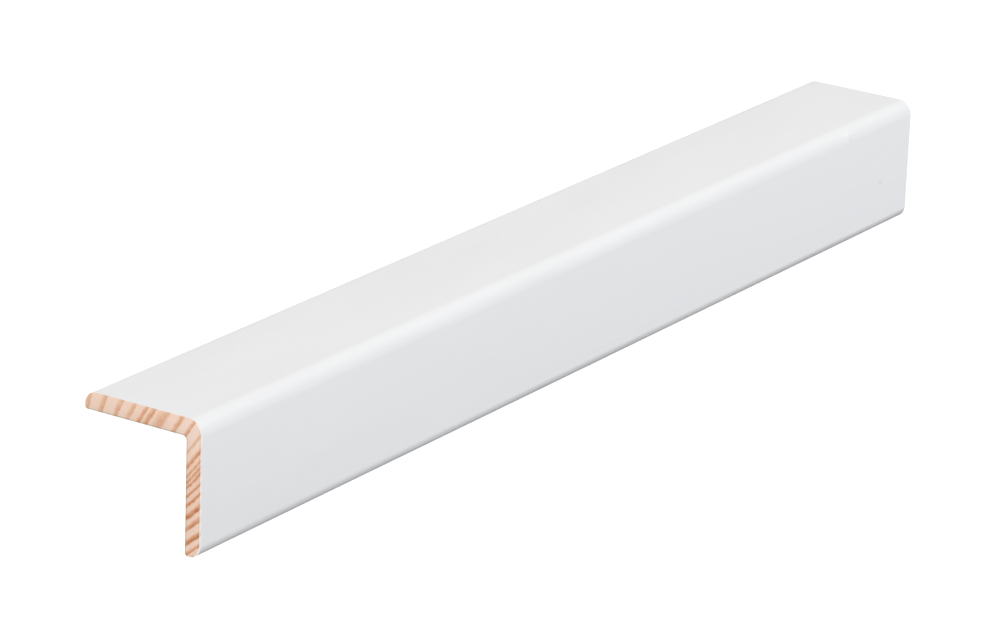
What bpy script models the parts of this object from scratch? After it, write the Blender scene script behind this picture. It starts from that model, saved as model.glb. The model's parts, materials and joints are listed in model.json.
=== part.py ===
"""A corner moulding: one length of pine planed to an L, painted white outside and bare inside.

Metres, +Z up. The moulding runs along X. Its top leg lies flat and its side leg hangs down, as it
covers the outside corner of a shelf, a panel or a wall. The outer faces look to +Z and -Y. The
origin is the middle of the top leg's inner face, where the moulding is glued or pinned on.
"""

import math

import bmesh
import bpy
from mathutils import Vector

# The length of the piece, cut square at both ends.
LENGTH = 0.290

# Each leg is measured over the corner, from the other leg's outer face to its own tip.
TOP_LEG_WIDTH = 0.030
SIDE_LEG_WIDTH = 0.030
TOP_LEG_THICKNESS = 0.004
SIDE_LEG_THICKNESS = 0.004

# The moulding is rounded over outside, and only eased where it meets the wall.
OUTER_CORNER_RADIUS = 0.0035
INNER_CORNER_RADIUS = 0.0010
TIP_OUTER_RADIUS = 0.0030
TIP_INNER_RADIUS = 0.00065
ARC_STEPS = 10

# A flat at least this wide is left between two roundings on one side of the section.
LEAST_FLAT = 0.0002

WHITE_PAINT = (0.83, 0.83, 0.82)
BARE_PINE = (0.80, 0.60, 0.43)


def section_corners():
    """The six corners of the L, as (place in the Y-Z plane, radius), going round it anticlockwise."""
    inner_y = -(TOP_LEG_WIDTH - SIDE_LEG_THICKNESS) / 2
    outer_y = inner_y - SIDE_LEG_THICKNESS
    tip_y = outer_y + TOP_LEG_WIDTH
    top_z = TOP_LEG_THICKNESS
    bottom_z = top_z - SIDE_LEG_WIDTH
    return [
        (Vector((outer_y, top_z)), OUTER_CORNER_RADIUS),
        (Vector((outer_y, bottom_z)), TIP_OUTER_RADIUS),
        (Vector((inner_y, bottom_z)), TIP_INNER_RADIUS),
        (Vector((inner_y, 0.0)), INNER_CORNER_RADIUS),
        (Vector((tip_y, 0.0)), TIP_INNER_RADIUS),
        (Vector((tip_y, top_z)), TIP_OUTER_RADIUS),
    ]


def limited_radius(index, corners):
    """The corner's radius, made smaller where the next wall is too thin for both its roundings."""
    place, radius = corners[index]
    for neighbour, its_radius in (corners[index - 1], corners[(index + 1) % len(corners)]):
        room = (neighbour - place).length - LEAST_FLAT
        radius = min(radius, corners[index][1] * room / (corners[index][1] + its_radius))
    return radius


def rounded_corner(before, corner, after, radius):
    """The arc that rounds a square corner, from the side before it to the side after it."""
    to_before = (before - corner).normalized()
    to_after = (after - corner).normalized()
    centre = corner + radius * (to_before + to_after)
    arc = []
    for step in range(ARC_STEPS + 1):
        turn = math.pi / 2 * step / ARC_STEPS
        arc.append(centre - radius * (math.cos(turn) * to_after + math.sin(turn) * to_before))
    return arc


def section_outline():
    """The outline of the L with every corner rounded to its own radius."""
    corners = section_corners()
    outline = []
    for index, (corner, _) in enumerate(corners):
        before = corners[index - 1][0]
        after = corners[(index + 1) % len(corners)][0]
        outline += rounded_corner(before, corner, after, limited_radius(index, corners))
    return outline


def extruded_solid(name, outline, length):
    """A closed mesh object with this outline in the Y-Z plane, running evenly both ways along X."""
    curve = bpy.data.curves.new(name, "CURVE")
    curve.dimensions = "2D"
    curve.fill_mode = "BOTH"
    curve.extrude = length / 2
    spline = curve.splines.new("POLY")
    spline.points.add(len(outline) - 1)
    for point, place in zip(spline.points, outline):
        point.co = (place.x, place.y, 0.0, 1.0)
    spline.use_cyclic_u = True

    drawn = bpy.data.objects.new(name + "_outline", curve)
    drawn.rotation_euler = (math.radians(90), 0.0, math.radians(90))
    bpy.context.scene.collection.objects.link(drawn)
    bpy.context.view_layer.update()
    evaluated = drawn.evaluated_get(bpy.context.evaluated_depsgraph_get())
    mesh = bpy.data.meshes.new_from_object(evaluated)
    mesh.name = name

    welded = bmesh.new()
    welded.from_mesh(mesh)
    bmesh.ops.remove_doubles(welded, verts=welded.verts, dist=0.00001)
    bmesh.ops.recalc_face_normals(welded, faces=welded.faces)
    welded.to_mesh(mesh)
    welded.free()

    solid = bpy.data.objects.new(name, mesh)
    solid.matrix_world = drawn.matrix_world.copy()
    bpy.data.objects.remove(drawn)
    bpy.data.curves.remove(curve)
    return solid


def plain_material(name, colour, roughness):
    material = bpy.data.materials.new(name)
    material.use_nodes = True
    material.diffuse_color = (*colour, 1.0)
    shader = material.node_tree.nodes["Principled BSDF"]
    shader.inputs["Base Color"].default_value = (*colour, 1.0)
    shader.inputs["Roughness"].default_value = roughness
    return material


def paint_outside(moulding):
    """Paint on the outer faces and round the tips. The inner faces and the cut ends are bare pine."""
    mesh = moulding.data
    mesh.materials.clear()
    mesh.materials.append(plain_material("white_paint", WHITE_PAINT, 0.45))
    mesh.materials.append(plain_material("bare_pine", BARE_PINE, 0.65))
    inner_y = section_corners()[3][0].x
    turned = moulding.matrix_world.to_3x3()
    for face in mesh.polygons:
        middle = moulding.matrix_world @ face.center
        outward = turned @ face.normal
        cut_end = abs(outward.x) > 0.5
        below_top_leg = outward.z < -0.05 and middle.y > inner_y and middle.z > -INNER_CORNER_RADIUS
        behind_side_leg = outward.y > 0.05 and middle.y < inner_y + INNER_CORNER_RADIUS
        face.material_index = 1 if cut_end or below_top_leg or behind_side_leg else 0


def corner_moulding():
    moulding = extruded_solid("corner_moulding", section_outline(), LENGTH)
    paint_outside(moulding)
    moulding.data.shade_smooth()
    moulding.data.set_sharp_from_angle(angle=math.radians(30))
    return moulding


for leftover in list(bpy.data.objects):
    bpy.data.objects.remove(leftover)

collection = bpy.data.collections.new("Corner moulding")
bpy.context.scene.collection.children.link(collection)
collection.objects.link(corner_moulding())
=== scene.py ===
import json
import math

import bmesh
import bpy
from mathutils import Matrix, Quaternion, Vector


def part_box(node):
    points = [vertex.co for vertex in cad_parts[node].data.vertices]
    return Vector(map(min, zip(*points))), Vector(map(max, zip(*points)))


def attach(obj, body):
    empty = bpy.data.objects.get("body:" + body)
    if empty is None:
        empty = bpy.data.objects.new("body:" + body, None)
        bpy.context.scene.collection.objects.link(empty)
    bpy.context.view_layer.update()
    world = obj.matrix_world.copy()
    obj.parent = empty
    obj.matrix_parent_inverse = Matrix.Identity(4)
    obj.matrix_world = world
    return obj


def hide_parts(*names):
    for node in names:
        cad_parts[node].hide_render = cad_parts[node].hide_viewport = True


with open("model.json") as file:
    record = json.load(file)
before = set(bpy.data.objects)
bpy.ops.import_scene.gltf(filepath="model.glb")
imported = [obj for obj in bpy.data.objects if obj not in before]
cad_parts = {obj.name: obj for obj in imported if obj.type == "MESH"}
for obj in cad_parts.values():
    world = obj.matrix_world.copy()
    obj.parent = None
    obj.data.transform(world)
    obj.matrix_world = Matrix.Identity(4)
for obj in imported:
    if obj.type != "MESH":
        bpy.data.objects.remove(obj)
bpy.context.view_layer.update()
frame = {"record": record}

# The camera stands in front of the near cut end and to its left, a little above the moulding, and
# looks down its length through a long lens, as the photograph was taken. The picture is 1000 by 628.
LENS_MM = 184.9
FILM_MM = 36.0
FARTHEST_SEEN = 50.0
LOOK_AT = Vector((-0.0074, 0.0022, -0.0144))
CAMERA_DISTANCE = 1.158
CAMERA_AZIMUTH = math.radians(-56.94)
CAMERA_ELEVATION = math.radians(19.15)
CAMERA_ROLL = math.radians(2.09)

backward = Vector((
    math.sin(CAMERA_AZIMUTH) * math.cos(CAMERA_ELEVATION),
    -math.cos(CAMERA_AZIMUTH) * math.cos(CAMERA_ELEVATION),
    math.sin(CAMERA_ELEVATION),
))
camera = bpy.data.objects.new("camera", bpy.data.cameras.new("camera"))
bpy.context.scene.collection.objects.link(camera)
camera.data.lens = LENS_MM
camera.data.sensor_width = FILM_MM
camera.data.clip_end = FARTHEST_SEEN
camera.location = LOOK_AT + CAMERA_DISTANCE * backward
camera.rotation_mode = "QUATERNION"
camera.rotation_quaternion = backward.to_track_quat("Z", "Y") @ Quaternion((0, 0, 1), CAMERA_ROLL)
bpy.context.scene.camera = camera

# The studio is a white tent. Its roof is bright, its walls are dimmer, and a lit table top runs round
# it just below the moulding, with the dark under it. One soft box stands low, in front to the left.
PLAIN_WHITE = Vector((1.0, 1.0, 1.0))
COOL_WHITE = Vector((0.97, 0.99, 1.03))
TENT = (  # how high on the tent, from -1 straight below to 1 straight above, how bright, and its white
    (-1.00, 0.03, COOL_WHITE),
    (-0.46, 0.08, COOL_WHITE),
    (-0.38, 1.12, COOL_WHITE),
    (-0.04, 1.12, COOL_WHITE),
    (0.04, 0.45, PLAIN_WHITE),
    (0.43, 0.85, PLAIN_WHITE),
    (0.50, 1.13, PLAIN_WHITE),
)
BOX_FROM = Vector((-0.85, -0.53, 0.09))
BOX_STRENGTH = 1.60
BOX_SPREAD = math.radians(50)


def add_node(tree, kind, inputs, **settings):
    """Adds a shader node with its settings. Each input is given a value, or the socket that feeds it."""
    node = tree.nodes.new("ShaderNode" + kind)
    for name, value in settings.items():
        setattr(node, name, value)
    for name, value in inputs.items():
        if isinstance(value, bpy.types.NodeSocket):
            tree.links.new(value, node.inputs[name])
        else:
            node.inputs[name].default_value = value
    return node


def add_ramp(tree, factor, stops):
    """Adds a colour ramp with the stops (place, colour), and gives back the colour that it puts out."""
    ramp = add_node(tree, "ValToRGB", {"Fac": factor})
    elements = ramp.color_ramp.elements
    elements.remove(elements[1])
    elements[0].position = stops[0][0]
    elements[0].color = (*stops[0][1], 1.0)
    for place, colour in stops[1:]:
        elements.new(place).color = (*colour, 1.0)
    return ramp.outputs["Color"]


world = bpy.data.worlds.new("tent")
bpy.context.scene.world = world
world.use_nodes = True
tent = world.node_tree
direction = add_node(tent, "TexCoord", {}).outputs["Generated"]
upward = add_node(tent, "SeparateXYZ", {"Vector": direction}).outputs["Z"]
up_the_tent = add_node(tent, "MapRange", {"Value": upward, "From Min": -1.0, "From Max": 1.0})
stops = [((place + 1) / 2, brightness * white) for place, brightness, white in TENT]
glow = add_ramp(tent, up_the_tent.outputs["Result"], stops)
tent.links.new(glow, tent.nodes["Background"].inputs["Color"])

soft_box = bpy.data.objects.new("soft_box", bpy.data.lights.new("soft_box", "SUN"))
bpy.context.scene.collection.objects.link(soft_box)
soft_box.data.energy = BOX_STRENGTH
soft_box.data.color = COOL_WHITE
soft_box.data.angle = BOX_SPREAD
soft_box.rotation_mode = "QUATERNION"
soft_box.rotation_quaternion = BOX_FROM.to_track_quat("Z", "Y")

bpy.context.scene.view_settings.view_transform = "Standard"

# The floor is a wide sheet of pale board well under the moulding, which hangs from what holds it.
# It is seen, but it throws no light back on the moulding's lower edge.
FLOOR_DROP = 1.0
FLOOR_SIZE = 60.0
FLOOR_COLOUR = (0.99, 0.99, 0.99)

bpy.ops.object.select_all(action="DESELECT")
bpy.ops.mesh.primitive_plane_add(size=FLOOR_SIZE, location=(0, 0, -FLOOR_DROP))
floor = bpy.context.object
floor.name = "floor"
bpy.ops.object.transform_apply(location=True)
floor.visible_diffuse = False
floor.visible_glossy = False
floor.visible_shadow = False
board = bpy.data.materials.new("pale_board")
board.use_nodes = True
finish = board.node_tree.nodes["Principled BSDF"].inputs
finish["Base Color"].default_value = (*FLOOR_COLOUR, 1.0)
finish["Roughness"].default_value = 1.0
finish["Specular IOR Level"].default_value = 0.0
floor.data.materials.append(board)

# The moulding is one length of pine, run through a planer to an L with a rounded outer corner and
# rounded tips. It was painted white outside before it was sawn square at both ends.
OUTER_CORNER_RADIUS = 0.0035
INNER_CORNER_RADIUS = 0.0010
TIP_OUTER_RADIUS = 0.0030
TIP_INNER_RADIUS = 0.00065
BROKEN_EDGE = 0.0004
BROKEN_EDGE_DEPTH = 0.00007
FACING = 0.9  # a face looks along an axis if its outward direction has more than this along it
SAME_PLACE = 0.00005
NEARLY_FLAT = math.radians(1)
SMOOTH_UP_TO = math.radians(25)

low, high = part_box("corner_moulding")
mounts = {mount["name"]: Vector(mount["pos_m"]) for mount in frame["record"]["mounts"]}
inner_y = mounts["side_leg_inner_face"].y
inner_z = mounts["top_leg_inner_face"].z


def select_edges(wanted):
    """Selects the edges for which wanted(one end, other end) holds, and nothing else."""
    bpy.ops.mesh.select_all(action="DESELECT")
    bpy.context.tool_settings.mesh_select_mode = (False, True, False)
    shape = bmesh.from_edit_mesh(bpy.context.object.data)
    for edge in shape.edges:
        edge.select_set(wanted(edge.verts[0].co, edge.verts[1].co))
    bmesh.update_edit_mesh(bpy.context.object.data)


def select_faces(wanted):
    """Selects the faces for which wanted(middle, outward direction) holds, and nothing else."""
    bpy.ops.mesh.select_all(action="DESELECT")
    bpy.context.tool_settings.mesh_select_mode = (False, False, True)
    shape = bmesh.from_edit_mesh(bpy.context.object.data)
    for face in shape.faces:
        face.select_set(wanted(face.calc_center_median(), face.normal))
    bmesh.update_edit_mesh(bpy.context.object.data)


bpy.ops.object.select_all(action="DESELECT")
top_leg = Vector((high.x - low.x - 2 * BROKEN_EDGE_DEPTH, high.y - low.y, high.z - inner_z))
middle = Vector(((low.x + high.x) / 2, (low.y + high.y) / 2, (inner_z + high.z) / 2))
bpy.ops.mesh.primitive_cube_add(size=1, location=middle, scale=top_leg)
moulding = bpy.context.object
moulding.name = "painted_pine"
bpy.ops.object.transform_apply(location=True, rotation=True, scale=True)

bpy.ops.object.mode_set(mode="EDIT")
bpy.ops.mesh.select_all(action="SELECT")
bpy.ops.mesh.bisect(plane_co=(0, inner_y, 0), plane_no=(0, 1, 0))
select_faces(lambda middle, outward: outward.z < -FACING and middle.y < inner_y)
bpy.ops.mesh.extrude_region_move(TRANSFORM_OT_translate={"value": (0, 0, low.z - inner_z)})
bpy.ops.mesh.select_all(action="SELECT")
bpy.ops.mesh.dissolve_limited(angle_limit=NEARLY_FLAT)

for corner_y, corner_z, radius, steps in (
    (low.y, high.z, OUTER_CORNER_RADIUS, 14),
    (inner_y, inner_z, INNER_CORNER_RADIUS, 6),
    (high.y, high.z, TIP_OUTER_RADIUS, 12),
    (high.y, inner_z, TIP_INNER_RADIUS, 5),
    (low.y, low.z, TIP_OUTER_RADIUS, 12),
    (inner_y, low.z, TIP_INNER_RADIUS, 5),
):
    corner = Vector((corner_y, corner_z))
    select_edges(lambda a, b: max((a.yz - corner).length, (b.yz - corner).length) < SAME_PLACE)
    bpy.ops.mesh.bevel(offset=radius, offset_type="OFFSET", segments=steps, affect="EDGES")

for end in (-1, 1):
    select_faces(lambda middle, outward: outward.x * end > FACING)
    bpy.ops.mesh.inset(thickness=BROKEN_EDGE, depth=BROKEN_EDGE_DEPTH)

# A small lump under the paint, low on the rounded corner near the far end. It is steep on its left
# and runs out to the right, and it breaks the lower edge of the light along the corner.
LUMP_LEFT = 0.1132
LUMP_RIGHT = 0.1204
LUMP_CUTS = 25
TURNED = 0.02  # a face of the rounded corner is turned at least this far off both legs
LUMP_SWELLS = (  # how far along, how far round the corner from the side face in degrees, height, reach
    (0.1151, 29, 0.00021, 0.0012),
    (0.1161, 28, 0.00012, 0.0012),
    (0.1171, 26, 0.00009, 0.0012),
    (0.1183, 23, 0.00005, 0.0012),
)

corner_centre = Vector((0, low.y + OUTER_CORNER_RADIUS, high.z - OUTER_CORNER_RADIUS))
for cut in range(LUMP_CUTS):
    select_faces(lambda middle, outward: outward.y < -TURNED and outward.z > TURNED)
    place = LUMP_LEFT + (LUMP_RIGHT - LUMP_LEFT) * cut / (LUMP_CUTS - 1)
    bpy.ops.mesh.bisect(plane_co=(place, 0, 0), plane_no=(1, 0, 0))

for along, around, height, reach in LUMP_SWELLS:
    outward = Vector((0, -math.cos(math.radians(around)), math.sin(math.radians(around))))
    swell = corner_centre + OUTER_CORNER_RADIUS * outward + Vector((along, 0, 0))
    bpy.ops.mesh.select_all(action="DESELECT")
    bpy.context.tool_settings.mesh_select_mode = (True, False, False)
    shape = bmesh.from_edit_mesh(moulding.data)
    nearest = min(shape.verts, key=lambda vert: (vert.co - swell).length)
    nearest.select_set(True)
    bmesh.update_edit_mesh(moulding.data)
    bpy.ops.transform.translate(
        value=height * outward,
        use_proportional_edit=True,
        proportional_edit_falloff="SMOOTH",
        proportional_size=reach,
    )
bpy.ops.object.mode_set(mode="OBJECT")
bpy.ops.object.shade_smooth_by_angle(angle=SMOOTH_UP_TO)

# The pine itself, as a solid pattern that every wood face cuts through: growth rings across the
# section, drawn out along the length. Each ring darkens slowly and ends sharply.
RINGS = (  # where a ring of dark wood is in mm, how wide and how dark, and how dark the wood round it
    (28.50, 1.35, 0.43, 0.08),
    (24.65, 1.50, 0.47, 0.08),
    (20.45, 1.50, 0.47, 0.08),
    (17.05, 1.50, 0.42, 0.08),
    (13.95, 1.10, 0.66, 0.10),
    (12.10, 1.45, 0.68, 0.10),
    (9.15, 2.80, 0.44, 0.10),
    (5.00, 1.50, 0.56, 0.05),
    (1.80, 1.15, 0.52, 0.00),
    (-1.40, 0.90, 0.40, 0.03),
    (-3.90, 1.05, 0.76, 0.12),
    (-5.70, 0.60, 0.76, 0.20),
    (-6.80, 0.62, 0.80, 0.22),
    (-7.90, 0.80, 0.82, 0.19),
    (-9.85, 0.80, 0.82, 0.16),
    (-11.90, 0.92, 0.93, 0.15),
    (-14.60, 1.60, 1.00, 0.13),
    (-17.45, 1.60, 0.78, 0.10),
    (-21.05, 1.75, 0.91, 0.10),
    (-23.90, 1.20, 0.74, 0.08),
    (-25.60, 0.80, 0.32, 0.08),
)
RING_SHAPE = (  # how far from a ring's middle, in its widths, and what share of its darkness is there
    (-0.48, 0.0),
    (-0.26, 1.0),
    (0.06, 0.85),
    (0.68, 0.0),
)
RINGS_REACH = 32.0  # they are drawn from this far under 0 mm to this far over it
LEAN_AT_SIDE = 0.60  # how far a ring moves across for each mm down, by the side leg
LEAN_AT_TIP = 0.23  # the same by the top leg's tip
CURL = 0.0113  # how much more it moves, for the square of the mm down
DRIFT = 0.006  # how far it moves across for each mm along
WAVES = (  # the size of a ring's waves along x, y and z in mm, and how far across they carry it
    ((60, 3, 3), 0.5),
    ((35, 0.7, 0.7), 0.6),
)
PATCH_SIZE = (25, 1.1, 1.1)
PATCHES_REACH = (0.3, 0.65)
PALEST_PATCH = 0.72
FIBRE_SIZE = (18, 0.14, 0.14)
CELL_SIZE = (14, 0.55, 0.55)
CELLS_WITHOUT_CANAL = 0.9
CANAL_EDGE = 0.35
CANAL_HEART = 0.2
CANAL_DARKNESS = 0.25
MM = 1000.0


def reckon(tree, operation, first, second=0.0):
    """Adds one step of arithmetic, and gives back its result."""
    return add_node(tree, "Math", {0: first, 1: second}, operation=operation).outputs["Value"]


def between(tree, value, start, end, from_value=0.0, to_value=1.0):
    """Gives back from_value until start, to_value after end, and a smooth change from one to the other."""
    change = {"Value": value, "From Min": start, "From Max": end, "To Min": from_value, "To Max": to_value}
    return add_node(tree, "MapRange", change, interpolation_type="SMOOTHSTEP").outputs["Result"]


def place_in_mm(tree):
    """Gives back where a point of the piece is, in millimetres."""
    place = add_node(tree, "TexCoord", {}).outputs["Object"]
    return add_node(tree, "VectorMath", {0: place, "Scale": MM}, operation="SCALE").outputs["Vector"]


def in_steps(tree, place, size):
    """Gives back a place counted in steps of this size along x, y and z in mm."""
    steps = {"Vector": place, "Scale": [1 / length for length in size]}
    return add_node(tree, "Mapping", steps).outputs["Vector"]


def cloudy(tree, place, size, detail=2.0):
    """Gives back a cloudy pattern round 0.5, whose patches have this size along x, y and z in mm."""
    pattern = {"Vector": in_steps(tree, place, size), "Scale": 1.0, "Detail": detail}
    return add_node(tree, "TexNoise", pattern).outputs["Fac"]


def new_group(name, inputs, outputs):
    """Starts a node group with numbers as its sockets. Gives back the group and both its ends."""
    group = bpy.data.node_groups.new(name, "ShaderNodeTree")
    for socket, value in inputs.items():
        made = group.interface.new_socket(name=socket, in_out="INPUT", socket_type="NodeSocketFloat")
        made.default_value = value
    for socket in outputs:
        group.interface.new_socket(name=socket, in_out="OUTPUT", socket_type="NodeSocketFloat")
    return group, group.nodes.new("NodeGroupInput").outputs, group.nodes.new("NodeGroupOutput").inputs


pine, given, result = new_group(
    "pine",
    {"Ring Strength": 1.0, "Fibre Strength": 0.2},
    ("Darkness", "Height"),
)
place = place_in_mm(pine)
parts = add_node(pine, "SeparateXYZ", {"Vector": place}).outputs
along = reckon(pine, "SUBTRACT", parts["X"], low.x * MM)
across = reckon(pine, "SUBTRACT", parts["Y"], low.y * MM)
down = reckon(pine, "SUBTRACT", high.z * MM, parts["Z"])
width = (high.y - low.y) * MM
lean = between(pine, across, width / 2, width, LEAN_AT_SIDE, LEAN_AT_TIP)
ring = reckon(pine, "SUBTRACT", across, reckon(pine, "MULTIPLY", down, lean))
ring = reckon(pine, "SUBTRACT", ring, reckon(pine, "MULTIPLY", reckon(pine, "MULTIPLY", down, down), CURL))
ring = reckon(pine, "ADD", ring, reckon(pine, "MULTIPLY", along, DRIFT))
for size, carry in WAVES:
    wave = reckon(pine, "SUBTRACT", cloudy(pine, place, size), 0.5)
    ring = reckon(pine, "ADD", ring, reckon(pine, "MULTIPLY", wave, carry))
ring = reckon(pine, "ADD", reckon(pine, "DIVIDE", ring, 2 * RINGS_REACH), 0.5)

rings = add_node(pine, "FloatCurve", {"Value": ring})
curve = rings.mapping.curves[0]
curve.points[0].location = (0.0, 0.0)
curve.points[1].location = (1.0, 0.0)
for middle_mm, width_mm, dark, ground in RINGS:
    for step, level in RING_SHAPE:
        place_on_curve = (middle_mm + step * width_mm) / (2 * RINGS_REACH) + 0.5
        curve.points.new(place_on_curve, ground + level * (dark - ground))
for point in curve.points:
    point.handle_type = "VECTOR"
rings.mapping.update()

patches = between(pine, cloudy(pine, place, PATCH_SIZE), *PATCHES_REACH, PALEST_PATCH, 1.0)
dark_wood = reckon(pine, "MULTIPLY", rings.outputs["Value"], patches)
dark_wood = reckon(pine, "MULTIPLY", dark_wood, given["Ring Strength"])
fibre = reckon(pine, "SUBTRACT", cloudy(pine, place, FIBRE_SIZE, detail=3.0), 0.5)
grain = reckon(pine, "ADD", dark_wood, reckon(pine, "MULTIPLY", fibre, given["Fibre Strength"]))
in_cells = in_steps(pine, place, CELL_SIZE)
cells = add_node(pine, "TexVoronoi", {"Vector": in_cells, "Scale": 1.0}).outputs
chosen = add_node(pine, "SeparateColor", {"Color": cells["Color"]}).outputs["Red"]
canals = reckon(pine, "GREATER_THAN", chosen, CELLS_WITHOUT_CANAL)
canals = reckon(pine, "MULTIPLY", canals, between(pine, cells["Distance"], CANAL_EDGE, CANAL_HEART))
canals = reckon(pine, "MULTIPLY", canals, CANAL_DARKNESS)
pine.links.new(reckon(pine, "ADD", grain, canals), result["Darkness"])
pine.links.new(grain, result["Height"])


def from_screen(red, green, blue):
    """Gives back a colour picked on a screen, 0 to 255, as the light that it stands for."""
    levels = [level / 255 for level in (red, green, blue)]
    return [level / 12.92 if level <= 0.04045 else ((level + 0.055) / 1.055) ** 2.4 for level in levels]


def new_material(name, roughness):
    """Starts a material. Gives back it, its nodes and its shader."""
    material = bpy.data.materials.new(name)
    material.use_nodes = True
    shader = material.node_tree.nodes["Principled BSDF"]
    shader.inputs["Roughness"].default_value = roughness
    return material, material.node_tree, shader


def add_relief(tree, shader, height, strength, depth):
    """Gives a shader a fine relief of this height, shown this strongly, and this deep in metres."""
    relief = {"Height": height, "Strength": strength, "Distance": depth}
    tree.links.new(add_node(tree, "Bump", relief).outputs["Normal"], shader.inputs["Normal"])


# The sawn ends show the rings crosswise, warm and matt, with the saw's fine marks. Dust and painted shade
# darken the burr round the bare inner side, and a faint darker line lies where the side leg meets the
# paint.
SAWN_ROUGHNESS = 0.75
END_GRAIN = (
    (0.00, from_screen(222, 197, 180)),
    (0.09, from_screen(221, 191, 170)),
    (0.26, from_screen(212, 170, 141)),
    (0.56, from_screen(197, 139, 101)),
    (0.87, from_screen(174, 109, 68)),
    (1.00, from_screen(164, 94, 55)),
)
PALE_BY_TOP = 0.85
PALE_UNTIL_MM = (0.2, 1.2)  # here and below, a change starts at the first depth and ends at the second
# the dust and painted shade on the burr, and the faint darker line by the paint, multiply by this colour
DUST_AND_SHADE_COLOUR = (0.62, 0.72, 0.70)
DARK_LINE = 0.4
LINE_STARTS_MM = (0.3, 0.45)
LINE_ENDS_MM = (0.5, 0.75)
LINE_BELOW_MM = (1.0, 2.5)
BURR_ENDS_MM = (0.12, 0.40)
SAW_MARK_SIZE = (1, 9, 0.16)
WOOD_RELIEF = {"strength": 0.5, "depth": 0.00003}
WALL_MM = (high.z - inner_z) * MM
OUTER_MM = OUTER_CORNER_RADIUS * MM
INNER_MM = INNER_CORNER_RADIUS * MM


def short_of(tree, across, down, depth):
    """Gives back how far a point still is from lying this deep under both painted faces, in mm."""
    short_across = reckon(tree, "MAXIMUM", reckon(tree, "SUBTRACT", depth, across))
    short_down = reckon(tree, "MAXIMUM", reckon(tree, "SUBTRACT", depth, down))
    short = add_node(tree, "CombineXYZ", {"X": short_across, "Y": short_down}).outputs["Vector"]
    return add_node(tree, "VectorMath", {0: short}, operation="LENGTH").outputs["Value"]


def blend(tree, amount, colour, added, **settings):
    """Mixes an amount of a fixed colour into another colour, and gives back the result."""
    colours = {"Factor": amount, "A": colour, "B": (*added, 1.0)}
    return add_node(tree, "Mix", colours, data_type="RGBA", **settings).outputs["Result"]


end_grain, tree, shader = new_material("end_grain", SAWN_ROUGHNESS)
wood = add_node(tree, "Group", {"Fibre Strength": 0.22}, node_tree=pine).outputs
parts = add_node(tree, "SeparateXYZ", {"Vector": place_in_mm(tree)}).outputs
across = reckon(tree, "SUBTRACT", parts["Y"], low.y * MM)
down = reckon(tree, "SUBTRACT", high.z * MM, parts["Z"])
from_paint = reckon(tree, "SUBTRACT", OUTER_MM, short_of(tree, across, down, OUTER_MM))
from_bare = reckon(tree, "SUBTRACT", short_of(tree, across, down, WALL_MM + INNER_MM), INNER_MM)
paler = between(tree, down, *PALE_UNTIL_MM, PALE_BY_TOP, 1.0)
colour = add_ramp(tree, reckon(tree, "MULTIPLY", wood["Darkness"], paler), END_GRAIN)
by_paint = between(tree, from_paint, *LINE_STARTS_MM)
line = reckon(tree, "MULTIPLY", by_paint, between(tree, down, *LINE_BELOW_MM))
line = reckon(tree, "MULTIPLY", line, between(tree, from_paint, *LINE_ENDS_MM, DARK_LINE, 0.0))
# dust and painted shade in the burr round the bare inner side, added to the faint darker line by the paint
dust_and_shade = reckon(tree, "ADD", line, between(tree, from_bare, *BURR_ENDS_MM, 1.0, 0.0))
colour = blend(tree, dust_and_shade, colour, DUST_AND_SHADE_COLOUR, blend_type="MULTIPLY")
tree.links.new(colour, shader.inputs["Base Color"])
saw_marks = cloudy(tree, place_in_mm(tree), SAW_MARK_SIZE)
add_relief(tree, shader, reckon(tree, "ADD", wood["Height"], saw_marks), **WOOD_RELIEF)

# The paint is a sprayed satin white with a very fine orange peel. It lets a trace of the grain
# through, and its tone and gloss change a little from place to place.
WHITE = 0.745
PAINT_TONES = (
    (0.2, [WHITE * 0.975] * 3),
    (0.8, [WHITE * 1.02] * 3),
)
CLOUD_SIZE = (40, 9, 9)
STREAK_SIZE = (70, 0.6, 0.6)
STREAK_SHARE = 0.3
PEEL_SIZE = (0.9, 0.9, 0.9)
GRAIN_SHARE = 0.5
CLOUDS_REACH = (0.3, 0.7)  # nearly all of a cloudy pattern lies between these
SATIN = (0.28, 0.34)
PAINT_RELIEF = {"strength": 0.35, "depth": 0.00002}

white_paint, tree, shader = new_material("white_paint", sum(SATIN) / 2)
place = place_in_mm(tree)
clouds = cloudy(tree, place, CLOUD_SIZE)
streaks = reckon(tree, "MULTIPLY", cloudy(tree, place, STREAK_SIZE), STREAK_SHARE)
tone = reckon(tree, "ADD", reckon(tree, "MULTIPLY", clouds, 1 - STREAK_SHARE), streaks)
colour = add_ramp(tree, tone, PAINT_TONES)
gloss = between(tree, clouds, *CLOUDS_REACH)
tree.links.new(between(tree, gloss, 0.0, 1.0, *SATIN), shader.inputs["Roughness"])
wood = add_node(tree, "Group", {"Fibre Strength": 0.4}, node_tree=pine).outputs
grain = reckon(tree, "MULTIPLY", wood["Height"], GRAIN_SHARE)
peel = cloudy(tree, place, PEEL_SIZE)
add_relief(tree, shader, reckon(tree, "ADD", peel, grain), **PAINT_RELIEF)

# Four faint marks lie on the paint near the far end: painted shade under the lump, a dark speck on the
# side, a smear by the speck and a faint darker patch just under the rounded corner.
MARK_GREY = from_screen(168, 166, 170)
MARKS = (  # where, how far it reaches along and up in mm, and how strong it is
    # the first is painted shade under the lump
    (Vector((0.1155, low.y, 0.0012)), 1.4, 0.8, 0.14),
    (Vector((0.1314, low.y, -0.0135)), 1.45, 0.75, 0.33),
    (Vector((0.1290, low.y, -0.0138)), 1.6, 1.0, 0.08),
    (Vector((0.1289, low.y, 0.0001)), 1.8, 0.9, 0.07),
)
RAGGED_SIZE = (0.5, 0.5, 0.5)
FAINTEST_SHARE = 0.6

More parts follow.
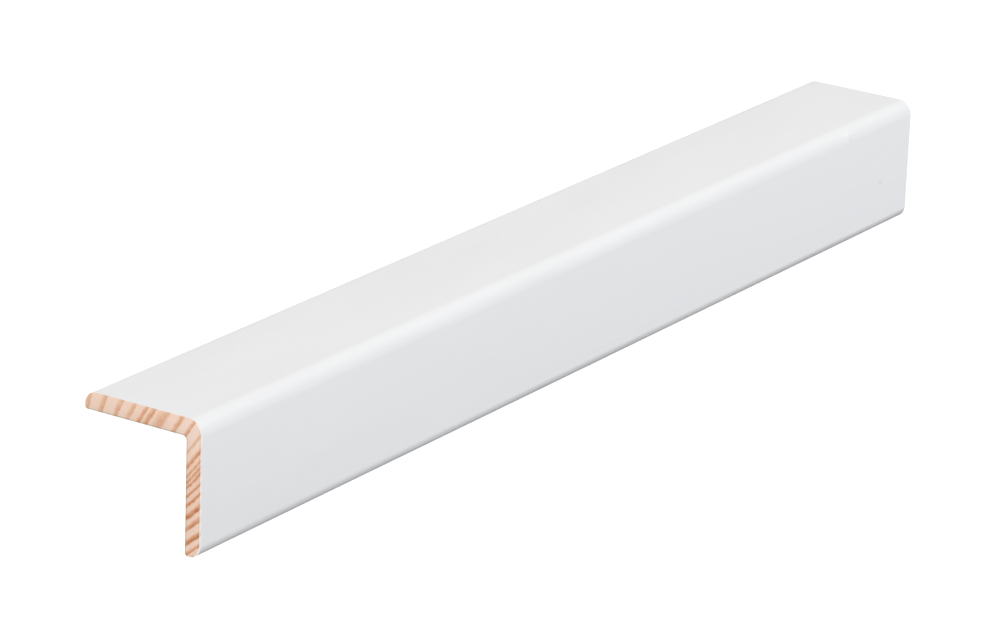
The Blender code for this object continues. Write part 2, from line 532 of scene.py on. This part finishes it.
ragged = between(tree, cloudy(tree, place, RAGGED_SIZE), *CLOUDS_REACH, FAINTEST_SHARE, 1.0)
for mark, reach_along, reach_up, strength in MARKS:
    away = add_node(tree, "VectorMath", {0: place, 1: mark * MM}, operation="SUBTRACT").outputs["Vector"]
    reach = {0: away, 1: (reach_along, reach_up, reach_up)}
    away = add_node(tree, "VectorMath", reach, operation="DIVIDE").outputs["Vector"]
    away = add_node(tree, "VectorMath", {0: away}, operation="LENGTH").outputs["Value"]
    shown = reckon(tree, "MULTIPLY", between(tree, away, 0.0, 1.0, strength, 0.0), ragged)
    colour = blend(tree, shown, colour, MARK_GREY)
tree.links.new(colour, shader.inputs["Base Color"])

# Round the sawn end of the side leg the cut paint shows as a thin cream rim on the broken edge, with
# the rings faint in it.
RIM_ROUGHNESS = 0.6
PAINT_EDGE = (
    (0.00, from_screen(228, 214, 205)),
    (1.00, from_screen(212, 190, 174)),
)
RIM_REACH = 0.0015  # it lies no farther than this from the painted side

paint_edge, tree, shader = new_material("sawn_paint_edge", RIM_ROUGHNESS)
wood = add_node(tree, "Group", {}, node_tree=pine).outputs
tree.links.new(add_ramp(tree, wood["Darkness"], PAINT_EDGE), shader.inputs["Base Color"])
add_relief(tree, shader, wood["Height"], **WOOD_RELIEF)

# The inner faces are bare, planed wood, with the faint ripple of the planer's knives across them and
# a ragged edge of white where the spray went round the tips.
PLANED_ROUGHNESS = 0.55
PLANED_PINE = (
    (0.00, from_screen(236, 208, 178)),
    (0.35, from_screen(229, 189, 152)),
    (0.70, from_screen(213, 158, 115)),
    (1.00, from_screen(187, 123, 80)),
)
KNIFE_STEP_MM = 1.6
KNIFE_RIPPLE = 0.12
OVERSPRAY_MM = 1.1
OVERSPRAY = 0.9
SPRAY_FADES_MM = (-0.2, 0.4)
SPRAY_WAVES = (7, 3, 3)
SPRAY_SPLASHES = (0.8, 0.4, 0.4)

planed_pine, tree, shader = new_material("planed_pine", PLANED_ROUGHNESS)
wood = add_node(tree, "Group", {"Ring Strength": 0.85, "Fibre Strength": 0.35}, node_tree=pine).outputs
place = place_in_mm(tree)
parts = add_node(tree, "SeparateXYZ", {"Vector": place}).outputs
from_top_tip = reckon(tree, "SUBTRACT", high.y * MM, parts["Y"])
from_side_tip = reckon(tree, "SUBTRACT", parts["Z"], low.z * MM)
from_tip = reckon(tree, "MINIMUM", from_top_tip, from_side_tip)
splashes = cloudy(tree, place, SPRAY_SPLASHES, detail=3.0)
ragged = reckon(tree, "ADD", cloudy(tree, place, SPRAY_WAVES), splashes)
spray_edge = reckon(tree, "MULTIPLY", ragged, OVERSPRAY_MM)
past_spray = reckon(tree, "SUBTRACT", from_tip, spray_edge)
spray = between(tree, past_spray, *SPRAY_FADES_MM, OVERSPRAY, 0.0)
colour = blend(tree, spray, add_ramp(tree, wood["Darkness"], PLANED_PINE), [WHITE] * 3)
tree.links.new(colour, shader.inputs["Base Color"])
knife = reckon(tree, "SINE", reckon(tree, "MULTIPLY", parts["X"], 2 * math.pi / KNIFE_STEP_MM))
height = reckon(tree, "ADD", wood["Height"], reckon(tree, "MULTIPLY", knife, KNIFE_RIPPLE))
add_relief(tree, shader, height, **WOOD_RELIEF)

# Each face of the moulding gets its finish by where it is: sawn at both ends, bare between the legs,
# and painted elsewhere.
HAIR = 0.000005  # a face this little off an inner face still lies on it
SQUARE_END = 0.995  # the broken edge leans, so it looks along the length less than this
PAINTED, PLANED, SAWN, RIM = range(4)

for material in (white_paint, planed_pine, end_grain, paint_edge):
    moulding.data.materials.append(material)
for face in moulding.data.polygons:
    between_legs = face.center.y > inner_y - HAIR and face.center.z < inner_z + HAIR
    at_an_end = abs(face.center.x) > high.x - 2 * BROKEN_EDGE_DEPTH
    in_rim = abs(face.normal.x) < SQUARE_END and face.center.y < low.y + RIM_REACH
    if at_an_end:
        face.material_index = RIM if in_rim else SAWN
    else:
        face.material_index = PLANED if between_legs else PAINTED

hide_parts("corner_moulding")
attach(moulding, "root")
